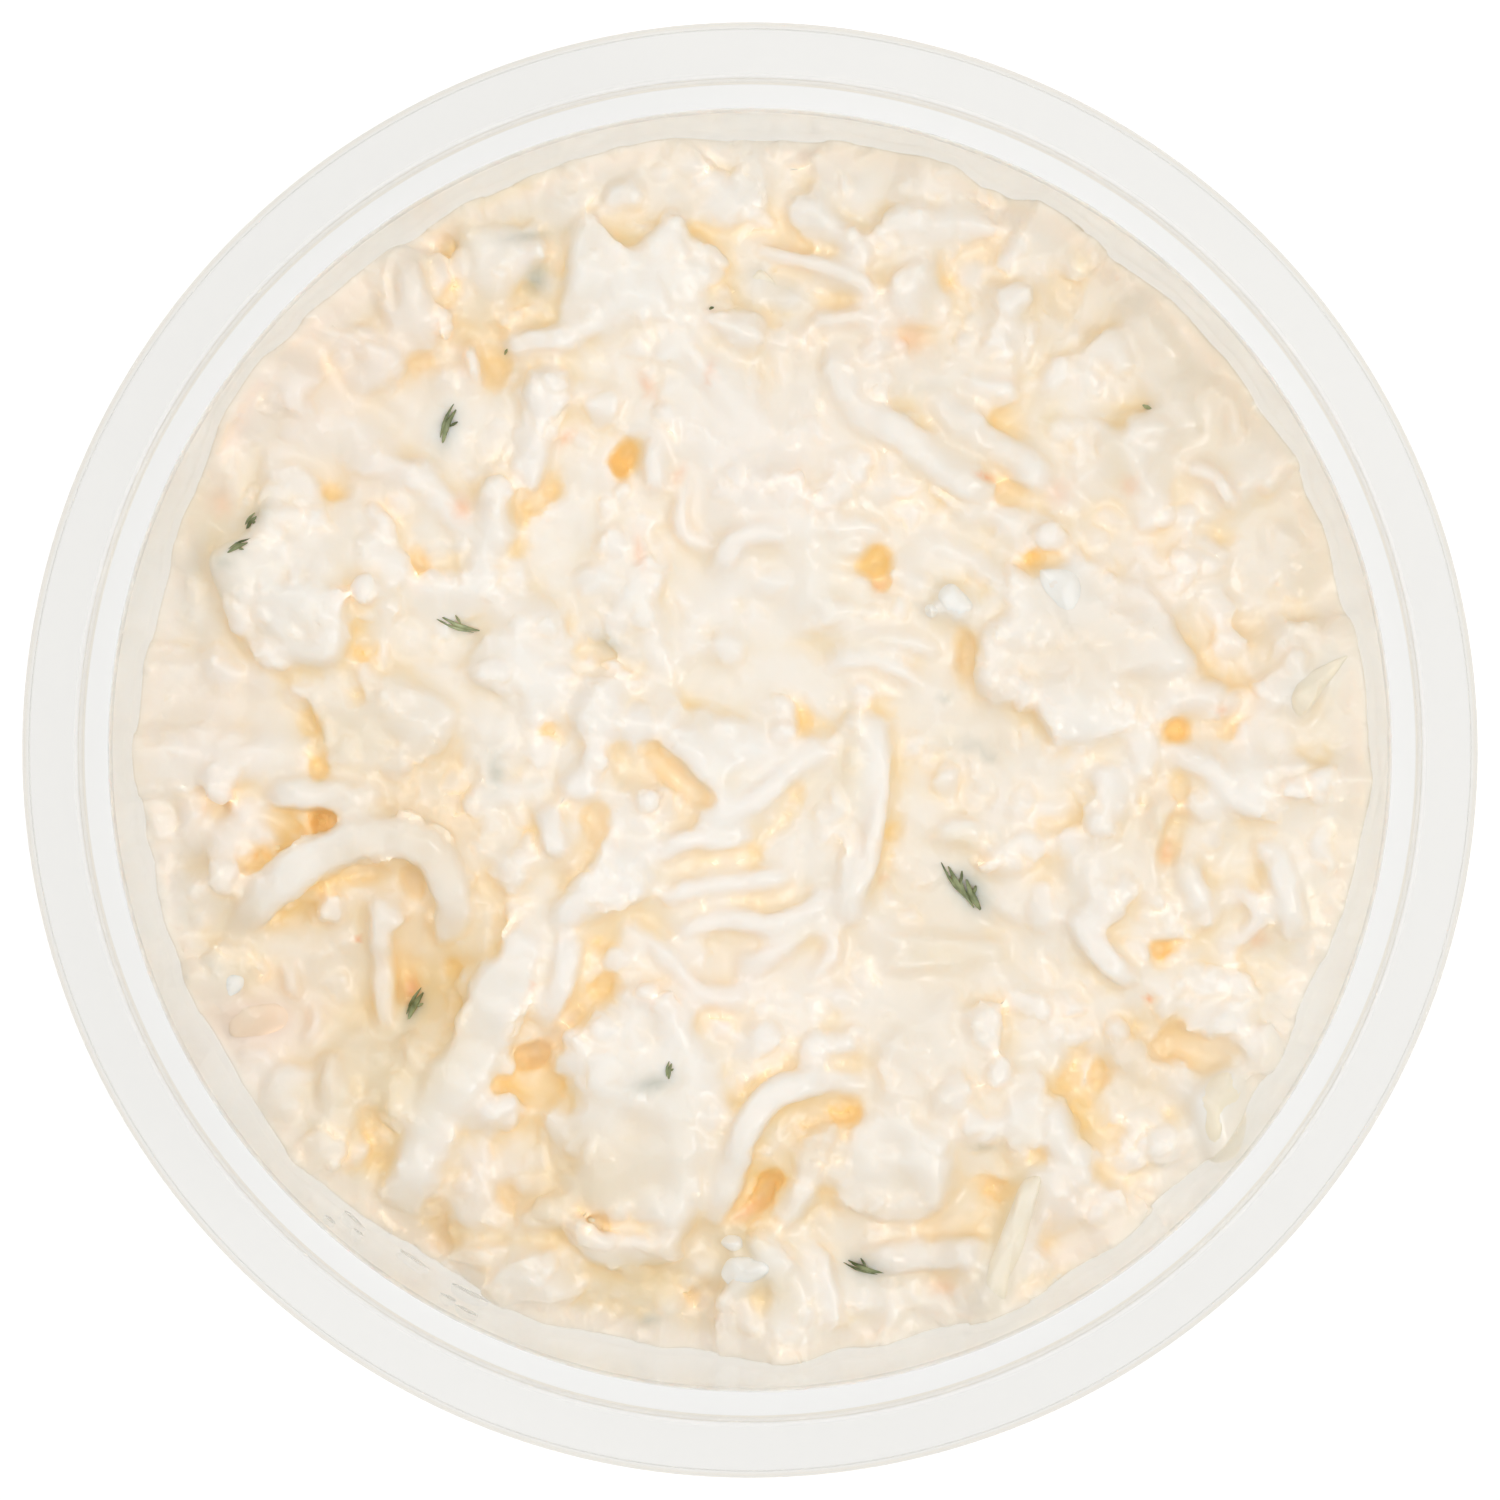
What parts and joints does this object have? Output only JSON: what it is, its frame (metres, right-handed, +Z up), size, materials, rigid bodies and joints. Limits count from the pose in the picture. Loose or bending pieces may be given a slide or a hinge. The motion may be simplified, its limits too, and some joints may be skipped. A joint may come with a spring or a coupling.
{
  "type": "cheese salad in a tub",
  "caption": "Creamy grated cheese salad with dill and egg, filling an open round clear plastic tub with a lid ledge and a flat flange.",
  "frame": {"origin": "centre of the tub's standing ring, on the surface that it stands on", "axes": "+Z up along the tub's axis, +X to the right and +Y away from the viewer as the salad is seen from above in the picture"},
  "size_m": [0.101, 0.101, 0.048],
  "materials": {
    "clear_tub": "clear, glossy, thin moulded sheet",
    "cream_salad": "moist, softly glossy cream dressing over grated cheese",
    "pale_cheese": "moist grated cheese",
    "egg_white": "moist, smooth",
    "dill": "wet cut herb",
    "carrot": "moist, under a film of dressing"
  },
  "bodies": {
    "root": {"tub": "clear_tub", "cheese_salad": "cream_salad"}
  },
  "joints": []
}
